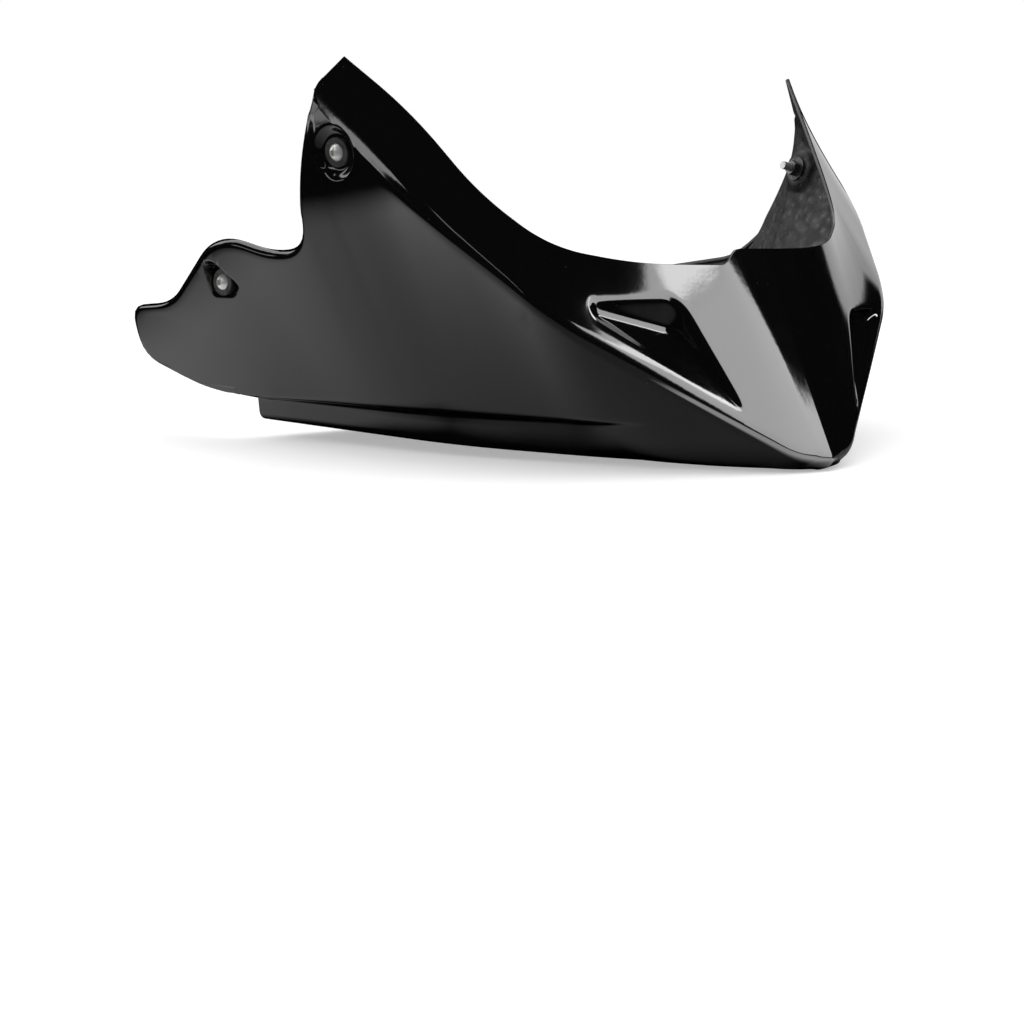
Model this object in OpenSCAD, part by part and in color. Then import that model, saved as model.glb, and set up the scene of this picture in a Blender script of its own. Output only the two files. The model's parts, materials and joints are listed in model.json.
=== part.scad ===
// Motorcycle belly pan: one laid-up gloss shell with four sets of fasteners.
// +X is the machine's left, -Y its front and +Z up. The origin lies on the
// floor, on the centre line, under the upper screws' station.

/* [Shell] */
// Thickness of the laminate
wall = 3; // [2.5:0.5:4]
// Half width across the flat sides at the top of the wings
half_width = 232; // [215:1:245]
// Inward lean of the lower side panels, sideways run per height
side_lean = 0.4; // [0.36:0.01:0.44]
// Outward flare of the side panels towards the rear, per length
side_flare = 0.12; // [0.08:0.01:0.15]
// Height above which a side panel stands upright
upright_z = 214; // [205:1:222]
// Height below which a side panel is flat
flat_z = 148; // [138:1:156]
// Radius of the rounded crease between front and sides
crease_r = 9; // [6:1:12]

/* [Nose] */
// Foremost point at the bottom of the nose
nose_y = -213; // [-222:1:-206]
// Height of the nose's lower lip
nose_z = 8; // [6:1:12]
// Backward rake of the centre facet, per height
front_rake = 0.46; // [0.42:0.01:0.5]
// Backward sweep of the right side facet, per width
sweep_right = 0.235; // [0.2:0.005:0.26]
// Backward sweep of the left side facet, per width
sweep_left = 0.32; // [0.28:0.005:0.34]
// Half width of the centre facet at its bottom
facet_half = 10; // [6:1:14]
// Extra half width of the centre facet, per height
facet_spread = 0.2; // [0.15:0.01:0.25]
// Height of the rim over the centre facet
rim_z = 138; // [130:1:142]
// Inset of the bend in the crease from the half width
bend_in = 54; // [48:1:62]
// Height of the bend in the crease
bend_z = 98; // [92:1:104]

/* [Wings] */
// Rear top corner of the right wing, along the length
wing_right_y = 14; // [8:1:18]
// Rear top corner of the left wing, along the length
wing_left_y = 6; // [0:1:10]
// Rear top corner of a wing, height
wing_z = 233; // [226:1:240]
// Height of the left wing's tip
tip_left_z = 263; // [256:1:268]
// Height of the right wing's tip
tip_right_z = 253; // [248:1:258]

/* [Tails] */
// Rear end of the left tail
tail_left_y = 174; // [168:1:186]
// Rear end of the right tail
tail_right_y = 255; // [250:1:264]
// Top of the left tail, height at the notch
tail_left_z = 131; // [126:1:134]
// Top of the right tail, height at the notch
tail_right_z = 136; // [132:1:140]
// Radius of the rolled edge along the tails
roll_r = 7; // [5:1:9]

/* [Floor] */
// Rear edge of the floor
floor_y = 158; // [150:1:164]
// Half width of the flat keel that the pan rests on
keel_half = 30; // [20:1:40]
// Height of the left bilge corner at the rear
bilge_left_z = 36; // [30:1:40]
// Height of the right bilge corner, under the ledge, at the rear
bilge_right_z = 14; // [10:1:16]
// Inward step above the ledge under the right side
ledge_step = 14; // [8:1:18]
// Height of that step
ledge_z = 32; // [28:1:34]

/* [Ducts] */
// Depth of the pressed duct recesses
duct_depth = 11; // [6:1:14]
// Rounding of a recess's inner corner, cut off each side
duct_round = 14; // [8:1:20]

/* [Screw places] */
// Right upper screw, along the length
upper_right_y = 1; // [-4:1:5]
// Left upper screw, along the length
upper_left_y = -5; // [-10:1:-1]
// Upper screws, height
upper_z = 194; // [189:1:198]
// Right rear screw, along the length
rear_right_y = 139; // [134:1:144]
// Right rear screw, height
rear_right_z = 111.5; // [107.5:1:114.5]
// Left rear screw, along the length
rear_left_y = 136; // [131:1:140]
// Left rear screw, height
rear_left_z = 95; // [90:1:97]
// Radius of the round dish round an upper screw
dish_r = 16; // [14:0.5:18]
// Depth of the dishes and pockets
dish_depth = 4; // [3:0.5:5]

/* [Fasteners] */
// Nominal thread diameter
thread_d = 6; // [5:1:6]
// Length of a screw under its head
screw_len = 20; // [18:1:25]
// Diameter of a screw's head
head_d = 10.5; // [9.5:0.1:11.5]
// Height of a screw's head
head_h = 3.3; // [2.5:0.1:3.6]
// Width across the flats of the hexagon socket
socket_af = 4; // [3:0.5:5]
// Outer diameter of the washers
washer_d = 18; // [15:1:20]
// Thickness of the washers
washer_t = 1.6; // [1.2:0.2:2]
// Width across the flats of a nut
nut_af = 10; // [9:0.5:11]
// Thickness of a nut
nut_h = 5; // [4:0.5:6]
// Clearance of the shell's and washers' holes round the screws, on the diameter
hole_gap = 0.6; // [0.4:0.1:1]

/* [Hidden] */

bend_x = half_width - bend_in;

LEFT = 1;
RIGHT = -1;
GLOSS = [0.03, 0.03, 0.03];
STEEL = [0.72, 0.72, 0.72];
DARK = [0.12, 0.12, 0.12];

// Rows and columns of the shell's surface
crease_cols = 28;
fold_cols = 3;
tail_cols = 26;
band_rows = 6;
fillet_rows = 3;
side_rows = 6;

// ---- Curves ----

// Point at fraction t of the quadratic curve from a to c that bends at b
function bend(a, b, c, t) = (1 - t) * (1 - t) * a + 2 * t * (1 - t) * b + t * t * c;

function toward(a, b, d) = a + (b - a) * (d / norm(b - a));

// A polyline of [point, cut] corners, each rounded from a distance cut off it
function rounded(corners, n = 6) = let (last = len(corners) - 1) [
    for (i = [0 : last])
        let (p = corners[i][0], cut = corners[i][1])
        if (i == 0 || i == last || cut == 0) p
        else each let (a = toward(p, corners[i - 1][0], cut),
                       b = toward(p, corners[i + 1][0], cut))
            [for (k = [0 : n]) bend(a, p, b, k / n)]];

function run_lengths(pts, i = 0, sum = 0) =
    i == len(pts) - 1 ? [sum]
    : concat([sum], run_lengths(pts, i + 1, sum + norm(pts[i + 1] - pts[i])));

// Points at the given fractions of a polyline's length
function sample(pts, fractions) = let (runs = run_lengths(pts), total = runs[len(runs) - 1]) [
    for (f = fractions)
        let (x = min(max(f, 0), 1) * total, k = max([for (i = [0 : len(runs) - 2]) runs[i] <= x ? i : 0]))
        pts[k] + (pts[k + 1] - pts[k]) * ((x - runs[k]) / max(0.001, runs[k + 1] - runs[k]))];

function smooth(t) = let (u = min(max(t, 0), 1)) u * u * (3 - 2 * u);

// ---- Faces of the pan ----

// Half width of a side panel at length y and height z
function side_x(y, z) = let (
        drop = side_lean * (upright_z - flat_z) / 2,
        k = (upright_z - z) / (upright_z - flat_z))
    side_flare * y + half_width
    - (z >= upright_z ? 0 : z >= flat_z ? drop * k * k : drop + side_lean * (flat_z - z));

// Length of the front faces at width x and height z: centre facet or side facet
function sweep(s) = s == LEFT ? sweep_left : sweep_right;
function face_y(s, x, z) = let (
        centre = nose_y + front_rake * (z - nose_z),
        outer = sweep(s) * (x - facet_half - facet_spread * z))
    centre + max(0, outer);

function on_face(s, x, z) = [x, face_y(s, x, z), z];
function on_side(y, z) = [side_x(y, z), y, z];

// ---- Edges of one half, at positive x ----

function rim_path(s) = rounded(s == LEFT ? [
        [on_face(s, 0, rim_z), 0],
        [on_face(s, 45, rim_z), 20],
        [on_face(s, 0.5 * bend_x, rim_z + 3), 22],
        [[bend_x - 38, nose_y + 110, rim_z + 19], 24],
        [[bend_x - 17, nose_y + 136, rim_z + 45], 20],
        [[half_width - 29, wing_left_y - 12, tip_left_z], 0]]
    : [ [on_face(s, 0, rim_z), 0],
        [on_face(s, 30, rim_z), 3],
        [on_face(s, 42, rim_z - 10), 4],
        [on_face(s, 0.59 * bend_x, rim_z - 9), 25],
        [[bend_x - 20, nose_y + 95, rim_z + 1], 24],
        [[bend_x + 3, nose_y + 132, rim_z + 32], 24],
        [[half_width - 34, wing_right_y - 51, tip_right_z - 34], 30],
        [[half_width - 17, wing_right_y - 8, tip_right_z], 0]]);

function wing_y(s) = s == LEFT ? wing_left_y : wing_right_y;

function crease_path(s) = rounded([
        [on_face(s, 0, nose_z), 0],
        [on_face(s, 28, nose_z + 1), 14],
        [on_face(s, bend_x, bend_z), 24],
        [on_side(wing_y(s) - 74, wing_z - 71), 30],
        [on_side(wing_y(s), wing_z), 0]]);

// The rear edge in side view, from the wing's corner round the tail to the bilge
function edge_path(s) = rounded(s == LEFT ? [
        [[wing_left_y, wing_z], 0],
        [[wing_left_y + 2, 208], 14],
        [[39, tail_left_z - 1], 26],
        [[tail_left_y - 10, tail_left_z - 17], 16],
        [[tail_left_y + 1, 67], 22],
        [[tail_left_y - 11, bilge_left_z + 9], 0]]
    : [ [[wing_right_y, wing_z], 0],
        [[wing_right_y + 5, 213], 10],
        [[44, tail_right_z], 24],
        [[82, tail_right_z - 2], 12],
        [[130, tail_right_z + 10], 28],
        [[tail_right_y - 52, tail_right_z - 40], 18],
        [[tail_right_y - 4, tail_right_z - 44], 14],
        [[tail_right_y, 56], 20],
        [[tail_right_y - 52, ledge_z + 6], 16],
        [[floor_y + 4, ledge_z + 5], 0]]);

function chine_path(s) = let (z_end = s == LEFT ? bilge_left_z : bilge_right_z) rounded([
        [[0, nose_y + 5, 2], 0],
        [[24, nose_y + 12, 2], 10],
        [[90, -122, 2 + 0.17 * z_end], 30],
        [[150, -14, 2 + 0.45 * z_end], 40],
        [[side_x(floor_y, z_end), floor_y, z_end], 0]]);

// Share of an edge's length that lies on the centre facet, before the fold
function fold_share(pts) = let (
        runs = run_lengths(pts),
        past = [for (p = pts) p[0] - facet_half - facet_spread * p[2]],
        k = max([for (i = [0 : len(pts) - 2]) past[i] < 0 ? i : 0]),
        t = past[k] / (past[k] - past[k + 1]))
    (runs[k] + t * (runs[k + 1] - runs[k])) / runs[len(runs) - 1];

// Points along an edge, with fold_cols steps up to the fold and the rest after it
function sample_fold(pts) = let (f = fold_share(pts)) sample(pts, concat(
    [for (i = [0 : fold_cols - 1]) f * i / fold_cols],
    [for (i = [0 : crease_cols - fold_cols]) lerp(f, 1, i / (crease_cols - fold_cols))]));

// ---- One half of the surface, as columns of points ----

function lerp(a, b, t) = a + (b - a) * t;

// Side panel from the edge point top to the bilge corner, at fraction f
function panel(top, foot, f) = let (
        q = lerp(top, foot, f),
        top_in = side_x(top[1], top[2]) - top[0],
        foot_in = side_x(foot[1], foot[2]) - foot[0])
    [side_x(q[1], q[2]) - lerp(top_in, foot_in, f), q[1], q[2]];

// How far the ledge stands out at length y: none on the left, none at the nose
function ledge_at(s, y) = s == LEFT ? 0 : smooth((y + 140) / 60);

// Rest of a column, from the side panel at fraction f0 round the bilge to the keel
function lower_column(s, top, foot, keel, f0) = let (
        e = ledge_at(s, foot[1]),
        z_lip = min(ledge_z, top[2] - 4),
        f_lip = min(lerp(0.8, 0.94, e), max(f0 + 0.02, (top[2] - z_lip) / (top[2] - foot[2]))),
        f_last = f_lip - min(0.04, (f_lip - f0) * 0.3),
        lip = panel(top, foot, f_lip),
        inner = lerp(panel(top, foot, f_lip + 0.03), lip - [ledge_step, 0, 3], e),
        corner = foot - [0.6 * ledge_step * e, 0, 0],
        leg = norm(keel - corner),
        r_low = min(lerp(38, 6, e), 0.42 * leg, 0.8 * norm(corner - inner)))
    concat(
        [for (k = [0 : side_rows]) panel(top, foot, lerp(f0, f_last, k / side_rows))],
        [lip, inner],
        let (a = toward(corner, inner, r_low), b = toward(corner, keel, r_low))
            [for (k = [0 : 3]) bend(a, corner, b, k / 3)],
        [keel]);

// Column through the crease: rim, front band, rounded crease, side panel, floor
function crease_column(s, rim, crease, foot, keel) = let (
        band = norm(crease - rim),
        r = min(crease_r, 0.4 * band, 0.4 * norm(foot - crease)),
        f0 = r / norm(foot - crease),
        a = toward(crease, rim, r),
        b = panel(crease, foot, f0))
    concat(
        [for (k = [0 : band_rows - 1]) lerp(rim, a, k / band_rows)],
        [for (k = [0 : fillet_rows - 1]) bend(a, crease, b, k / fillet_rows)],
        lower_column(s, crease, foot, keel, f0));

// Column from the rear edge: rolled edge, side panel, floor
function edge_column(s, top, foot, keel) = let (
        len_side = norm(foot - top),
        tail_z = s == LEFT ? tail_left_z : tail_right_z,
        roll = smooth((top[2] - 50) / 40) * (1 - smooth((top[2] - tail_z - 2) / 24)),
        r = min(1 + roll_r, 0.2 * len_side),
        f0 = r / len_side,
        b = panel(top, foot, f0),
        down = (b - top) / norm(b - top))
    concat(
        [for (k = [0 : fillet_rows - 1])
            let (a = 80 * (1 - k / fillet_rows))
            top + down * r * (1 - sin(a)) - [roll * r * (1 - cos(a)), 0, 0]],
        lower_column(s, top, foot, keel, f0));

// Fractions along the edges at which the columns stand
crease_share = 0.62;
crease_steps = [for (i = [0 : crease_cols]) i / crease_cols];
tail_steps = [for (i = [1 : tail_cols]) i / tail_cols];

function keel_point(foot) = let (run = foot[1] - nose_y - 5)
    [keel_half * smooth((run + 1) / 60), foot[1] + 7 * (1 - smooth(run / 40)), 0];

function mirrored(s, p) = [s * p[0], p[1], p[2]];

function half_columns(s) = let (
        rims = sample_fold(rim_path(s)),
        creases = sample_fold(crease_path(s)),
        feet = sample(chine_path(s), [for (t = crease_steps) t * crease_share]),
        edges = sample(edge_path(s), tail_steps),
        tail_feet = sample(chine_path(s), [for (t = tail_steps) lerp(crease_share, 1, t)]))
    [ [for (i = [0 : crease_cols])
        [for (p = crease_column(s, rims[i], creases[i], feet[i], keel_point(feet[i]))) mirrored(s, p)]],
      [for (i = [0 : tail_cols - 1])
        [for (p = edge_column(s, on_side(edges[i][0], edges[i][1]), tail_feet[i],
                              keel_point(tail_feet[i]))) mirrored(s, p)]]];

// ---- The closed shell ----

right_half = half_columns(RIGHT);
left_half = half_columns(LEFT);
rows = len(right_half[0][0]);
skip = rows - len(right_half[1][0]);

// Columns from the right tail round the nose to the left tail; tail columns start at row skip
columns = concat(
    [for (i = [tail_cols - 1 : -1 : 0]) concat([for (j = [1 : skip]) undef], right_half[1][i])],
    [for (i = [crease_cols : -1 : 0]) right_half[0][i]],
    [for (i = [1 : crease_cols]) left_half[0][i]],
    [for (i = [0 : tail_cols - 1]) concat([for (j = [1 : skip]) undef], left_half[1][i])]);
n_cols = len(columns);

function has(i, j) = i >= 0 && i < n_cols && j >= 0 && j < rows && !is_undef(columns[i][j]);
function near_or(i, j, i0, j0) = has(i, j) ? columns[i][j] : columns[i0][j0];
function outward(i, j) = let (
        u = near_or(i + 1, j, i, j) - near_or(i - 1, j, i, j),
        v = near_or(i, j + 1, i, j) - near_or(i, j - 1, i, j),
        n = cross(v, u))
    norm(n) < 0.000001 ? [0, 0, -1] : n / norm(n);

// Tail columns are shorter, so a point's number counts the points before its column
tail_len = rows - skip;
function num(i, j) = i < tail_cols ? i * tail_len + j - skip
    : i < n_cols - tail_cols ? tail_cols * tail_len + (i - tail_cols) * rows + j
    : tail_cols * tail_len + (n_cols - 2 * tail_cols) * rows
      + (i - n_cols + tail_cols) * tail_len + j - skip;

module shell_skin() {
    outer = [for (i = [0 : n_cols - 1]) for (j = [0 : rows - 1]) if (has(i, j)) columns[i][j]];
    inner = [for (i = [0 : n_cols - 1]) for (j = [0 : rows - 1])
        if (has(i, j)) columns[i][j] - wall * outward(i, j)];
    n = len(outer);
    mid = tail_cols + crease_cols;
    last = rows - 1;
    cells = [for (i = [0 : n_cols - 2]) for (j = [0 : rows - 2])
        if (has(i, j) && has(i + 1, j))
            [num(i, j), num(i + 1, j), num(i + 1, j + 1), num(i, j + 1)]];
    keel = [for (k = [1 : mid - 1])
        [num(mid - k, last), num(mid + k, last), num(mid + k + 1, last), num(mid - k - 1, last)]];
    quads = concat(cells, keel);
    front = concat([[num(mid, last), num(mid + 1, last), num(mid - 1, last)]],
        [for (q = quads) each [[q[0], q[1], q[2]], [q[0], q[2], q[3]]]]);
    border = concat(
        [for (i = [tail_cols : n_cols - 1 - tail_cols]) num(i, 0)],
        [for (j = [1 : skip]) num(n_cols - 1 - tail_cols, j)],
        [for (i = [n_cols - tail_cols : n_cols - 1]) num(i, skip)],
        [for (j = [skip + 1 : last]) num(n_cols - 1, j)],
        [for (j = [last : -1 : skip]) num(0, j)],
        [for (i = [1 : tail_cols]) num(i, skip)],
        [for (j = [skip - 1 : -1 : 1]) num(tail_cols, j)]);
    back = [for (t = front) [t[2] + n, t[1] + n, t[0] + n]];
    rim = [for (k = [0 : len(border) - 1])
        let (a = border[k], b = border[(k + 1) % len(border)])
        each [[b, a, b + n], [b + n, a, a + n]]];
    polyhedron(points = concat(outer, inner), faces = concat(front, back, rim));
}

// ---- Duct recesses ----

// A recess in front view, [x, z] as shares of the crease bend's place: upper outer
// end, inner corner, lower end, lower outer end, then its two deepest places
DUCT_RIGHT = [[0.79, 1.13], [0.475, 1.13], [0.315, 0.34], [0.8, 0.95], [0.8, 1.04], [0.51, 0.94]];
DUCT_LEFT = [[0.87, 0.98], [0.53, 0.975], [0.29, 0.28], [0.85, 0.92], [0.8, 0.93], [0.54, 0.87]];

function face_out(s) = let (n = [sweep(s), -1, front_rake - sweep(s) * facet_spread]) n / norm(n);

// Pressed recess between its outline, which stands out from the facet by out, and a
// valley between the two deepest places
module duct_wedge(s, out, grow) {
    q = [for (c = s == LEFT ? DUCT_LEFT : DUCT_RIGHT) [c[0] * bend_x, c[1] * bend_z]];
    middle = (q[0] + q[1] + q[2] + q[3]) / 4;
    far = [for (i = [0 : 3]) q[i] + grow * (q[i] - middle) / norm(q[i] - middle)];
    a = toward(far[1], far[0], duct_round);
    b = toward(far[1], far[2], duct_round);
    outline = concat([far[3], far[0]], [for (k = [0 : 4]) bend(a, far[1], b, k / 4)], [far[2]]);
    n = len(outline);
    deep = duct_depth + (grow > 0 ? wall : 0);
    function at(c, d) = on_face(s, c[0], c[1]) + d * face_out(s);
    mirror([s == LEFT ? 0 : 1, 0, 0]) polyhedron(
        points = concat([for (c = outline) at(c, out)],
            [at(q[4], -deep + 0.6 * duct_depth), at(q[5], -deep)]),
        faces = concat([[for (k = [n - 1 : -1 : 0]) k]],
            [[0, 1, n], [1, n + 1, n], [n - 1, 0, n], [n - 1, n, n + 1]],
            [for (k = [1 : n - 2]) [k, k + 1, n + 1]]));
}

// ---- Screw places ----

// Half width at length y and height z of the triangle a b c, if it lies there
function cover(a, b, c, y, z) = let (
        u = b - a, v = c - a, d = u[1] * v[2] - u[2] * v[1],
        p = y - a[1], q = z - a[2],
        k = (p * v[2] - q * v[1]) / d, m = (u[1] * q - u[2] * p) / d)
    d == 0 || k < 0 || m < 0 || k + m > 1 ? [] : [abs(a[0] + k * u[0] + m * v[0])];

// Half width of the built surface on side s
function skin_x(s, y, z) = max([
    for (i = [0 : n_cols - 2]) for (j = [0 : rows - 2])
        if (has(i, j) && has(i + 1, j) && s * columns[i][j][0] > 0 && abs(columns[i][j][1] - y) < 60)
            let (a = columns[i][j], c = columns[i + 1][j + 1])
            each concat(cover(a, columns[i + 1][j], c, y, z), cover(a, c, columns[i][j + 1], y, z))]);

// A screw place: side, y, z, half width, and the surface's slopes along y and z
function place_at(s, y, z) = [s, y, z, skin_x(s, y, z),
    (skin_x(s, y + 5, z) - skin_x(s, y - 13, z)) / 18,
    (skin_x(s, y, z + 13) - skin_x(s, y, z - 13)) / 26];
UPPER_RIGHT = place_at(RIGHT, upper_right_y, upper_z);
UPPER_LEFT = place_at(LEFT, upper_left_y, upper_z);
REAR_RIGHT = place_at(RIGHT, rear_right_y, rear_right_z);
REAR_LEFT = place_at(LEFT, rear_left_y, rear_left_z);
PLACES = [UPPER_RIGHT, UPPER_LEFT, REAR_RIGHT, REAR_LEFT];

function is_upper(place) = place[2] == upper_z;

// Turns +Z to the outward normal of the panel, with z = 0 on the panel
module on_panel(place, level = false) {
    s = place[0];
    turn = atan(place[4]);
    lean = level ? 0 : atan(place[5] * cos(turn));
    translate([s * place[3], place[1], place[2]])
        rotate([0, 0, -s * turn])
            rotate([0, s * (90 + lean), 0])
                children();
}

// Frame of a screw: upright at the rear, so that a pocket there is cut deeper at its
// top and runs out at its bottom
module on_seat(place) { on_panel(place, !is_upper(place)) children(); }

seat_t = 4;
hole_d = thread_d + hole_gap;
seat_floor = -dish_depth - seat_t;
dish_floor_r = washer_d / 2 + 2;

// Outline of a rear screw's pocket, a rounded triangle that points forward
module pocket_shape(place, extra) {
    r = washer_d / 2 + 1 + extra;
    path = rounded([[[-1.12, 0.2], 0], [[-1.14, 1.22], 0.45], [[-0.15, 1.42], 0.45], [[1.8, -0.2], 0.4],
        [[0.9, -1.02], 0.4], [[-1.1, -1.02], 0.4], [[-1.12, 0.1], 0]], 4);
    polygon([for (p = path) r * [-place[0] * p[1], -p[0]]]);
}

// Thicker laminate under a screw, on the inner side
module seat_boss(place) {
    if (is_upper(place))
        on_seat(place) translate([0, 0, seat_floor])
            cylinder(r1 = dish_floor_r + 1, r2 = dish_r + 1, h = seat_t + dish_depth - 1.6, $fn = 48);
    else
        intersection() {
            on_seat(place) translate([0, 0, seat_floor])
                linear_extrude(height = 3 * dish_depth) pocket_shape(place, 0.8 * wall);
            on_panel(place) translate([-30, -30, -41.5]) cube([60, 60, 40]);
        }
}

// Dish or pocket from the outer side, with the screw's hole
module seat_cut(place) {
    on_seat(place) {
        translate([0, 0, -dish_depth])
            if (is_upper(place))
                rotate_extrude($fn = 48) polygon([[0, 0], [dish_floor_r, 0],
                    [dish_r, dish_depth], [dish_r, dish_depth + 5], [0, dish_depth + 5]]);
            else
                linear_extrude(height = dish_depth + 10) pocket_shape(place, 0);
        translate([0, 0, seat_floor - 6]) cylinder(d = hole_d, h = 20, $fn = 32);
    }
}

module pan_shell() {
    color(GLOSS) difference() {
        union() {
            shell_skin();
            for (s = [LEFT, RIGHT]) duct_wedge(s, -1.5, 6);
            for (place = PLACES) seat_boss(place);
        }
        for (s = [LEFT, RIGHT]) duct_wedge(s, 1, 0);
        for (place = PLACES) seat_cut(place);
    }
}

// ---- Fasteners, built outward along +Z from the dish's floor ----

module ring(outer_d, inner_d, h) {
    difference() {
        cylinder(d = outer_d, h = h, $fn = 48);
        translate([0, 0, -1]) cylinder(d = inner_d, h = h + 2, $fn = 48);
    }
}

module screw(place) {
    color(STEEL) on_seat(place) translate([0, 0, washer_t - dish_depth]) {
        difference() {
            rotate_extrude($fn = 48) intersection() {
                translate([0, head_h - sphere_r]) circle(r = sphere_r, $fn = 96);
                square([head_d, head_h]);
            }
            translate([0, 0, head_h - 2.2]) cylinder(d = socket_af / cos(30), h = 3, $fn = 6);
        }
        translate([0, 0, -screw_len]) cylinder(d = thread_d, h = screw_len + 0.5, $fn = 48);
    }
}
// Dome of a button head: passes through the head's rim and its top
sphere_r = (head_h * head_h + head_d * head_d / 4) / (2 * head_h);

module washer(place) {
    color(DARK) on_seat(place) translate([0, 0, -dish_depth]) ring(washer_d, hole_d, washer_t);
}

module back_washer(place) {
    color(DARK) on_seat(place) translate([0, 0, seat_floor - washer_t])
        ring(washer_d, hole_d, washer_t);
}

module nut(place) {
    color(STEEL) on_seat(place) translate([0, 0, seat_floor - washer_t - nut_h]) difference() {
        cylinder(d = nut_af / cos(30), h = nut_h, $fn = 6);
        translate([0, 0, -1]) cylinder(d = thread_d + 0.2, h = nut_h + 2, $fn = 48);
    }
}

pan_shell();
screw(UPPER_RIGHT);  // screw_upper_right
screw(UPPER_LEFT);  // screw_upper_left
screw(REAR_RIGHT);  // screw_rear_right
screw(REAR_LEFT);  // screw_rear_left
washer(UPPER_RIGHT);  // washer_upper_right
washer(UPPER_LEFT);  // washer_upper_left
washer(REAR_RIGHT);  // washer_rear_right
washer(REAR_LEFT);  // washer_rear_left
back_washer(UPPER_RIGHT);  // back_washer_upper_right
back_washer(UPPER_LEFT);  // back_washer_upper_left
back_washer(REAR_RIGHT);  // back_washer_rear_right
back_washer(REAR_LEFT);  // back_washer_rear_left
nut(UPPER_RIGHT);  // nut_upper_right
nut(UPPER_LEFT);  // nut_upper_left
nut(REAR_RIGHT);  // nut_rear_right
nut(REAR_LEFT);  // nut_rear_left
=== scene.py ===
# Motorcycle belly pan: a one-piece laid-up shell in gloss black, with four screws,
# their washers and their nuts. It stands on its keel on a pale studio floor.
# Forms are drawn in millimetres, as the solids are, and turned into metres.
import json
from math import cos, pi, radians, sin

import bmesh
import bpy
import numpy as np
from mathutils import Matrix, Vector


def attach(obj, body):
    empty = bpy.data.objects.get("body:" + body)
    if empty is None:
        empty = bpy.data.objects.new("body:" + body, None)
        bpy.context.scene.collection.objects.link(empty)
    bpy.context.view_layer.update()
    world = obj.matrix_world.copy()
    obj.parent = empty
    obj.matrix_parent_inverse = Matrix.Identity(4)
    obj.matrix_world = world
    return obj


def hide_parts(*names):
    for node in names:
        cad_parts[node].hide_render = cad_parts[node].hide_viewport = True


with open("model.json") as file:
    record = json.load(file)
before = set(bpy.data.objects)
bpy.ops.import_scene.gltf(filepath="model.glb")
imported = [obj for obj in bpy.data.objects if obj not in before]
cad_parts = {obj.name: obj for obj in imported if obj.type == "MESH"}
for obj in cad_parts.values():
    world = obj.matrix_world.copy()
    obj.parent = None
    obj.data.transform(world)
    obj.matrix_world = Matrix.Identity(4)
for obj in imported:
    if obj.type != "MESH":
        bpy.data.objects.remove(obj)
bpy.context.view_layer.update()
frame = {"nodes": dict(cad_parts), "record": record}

# ---- The shell's form ----
# The real pan is one glass-fibre moulding, about 3 mm thick, laid up in a female mould.
# A nose of three facets folds along one crease on each side into the flat side panels,
# and those run round the bilge to a flat keel. It is open at its top and rear.
MM = 0.001
WALL = 3.0
HALF_WIDTH, SIDE_LEAN, SIDE_FLARE = 232.0, 0.4, 0.12
UPRIGHT_Z, FLAT_Z, CREASE_R = 214.0, 148.0, 9.0
NOSE_Y, NOSE_Z, FRONT_RAKE = -213.0, 8.0, 0.46
FACET_HALF, FACET_SPREAD, RIM_Z = 10.0, 0.2, 138.0
BEND_X, BEND_Z, WING_Z, FLOOR_Y = 178.0, 98.0, 233.0, 158.0
KEEL_HALF, LEDGE_STEP, LEDGE_Z, ROLL_R = 30.0, 14.0, 32.0, 7.0
CREASE_COLS, FOLD_COLS, TAIL_COLS, CREASE_SHARE = 28, 3, 26, 0.62
LEFT, RIGHT = 1, -1
SWEEP = {RIGHT: 0.235, LEFT: 0.32}
WING_Y = {RIGHT: 14.0, LEFT: 6.0}
TIP_Z = {RIGHT: 253.0, LEFT: 263.0}
TAIL_Y = {RIGHT: 255.0, LEFT: 174.0}
TAIL_Z = {RIGHT: 136.0, LEFT: 131.0}
BILGE_Z = {RIGHT: 14.0, LEFT: 36.0}
# Mesh steps to a column of the solid, and fine steps to a step where a form needs them
STEPS, FINE = 3, 6


def lerp(a, b, t):
    return a + (b - a) * t


def smooth(t):
    u = np.clip(t, 0, 1)
    return u * u * (3 - 2 * u)


def arc(a, corner, b, t):
    """Quadratic curve from a to b that bends at the corner."""
    return (1 - t) ** 2 * a + 2 * t * (1 - t) * corner + t * t * b


def length(v):
    return np.linalg.norm(v, axis=-1, keepdims=True)


def toward(a, b, distance):
    return a + (b - a) * distance / np.maximum(length(b - a), 1e-6)


def side_x(y, z):
    """Half width of a side panel."""
    drop = SIDE_LEAN * (UPRIGHT_Z - FLAT_Z) / 2
    k = np.clip((UPRIGHT_Z - z) / (UPRIGHT_Z - FLAT_Z), 0, 1)
    lean = np.where(z >= FLAT_Z, drop * k * k, drop + SIDE_LEAN * (FLAT_Z - z))
    return SIDE_FLARE * y + HALF_WIDTH - lean


def on_face(s, x, z):
    outer = SWEEP[s] * (x - FACET_HALF - FACET_SPREAD * z)
    return np.array([x, NOSE_Y + FRONT_RAKE * (z - NOSE_Z) + max(0, outer), z])


def on_side(y, z):
    return np.array([float(side_x(y, z)), y, z])


def rounded(corners, n=24):
    """A line through [point, cut] corners, each rounded from the cut distance off it."""
    points = []
    for k, (p, cut) in enumerate(corners):
        p = np.array(p, float)
        if cut == 0 or k in (0, len(corners) - 1):
            points.append(p)
            continue
        a = toward(p, np.array(corners[k - 1][0], float), cut)
        b = toward(p, np.array(corners[k + 1][0], float), cut)
        points += [arc(a, p, b, j / n) for j in range(n + 1)]
    return np.array(points)


def run_lengths(line):
    return np.concatenate([[0], np.cumsum(length(np.diff(line, axis=0))[:, 0])])


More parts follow.
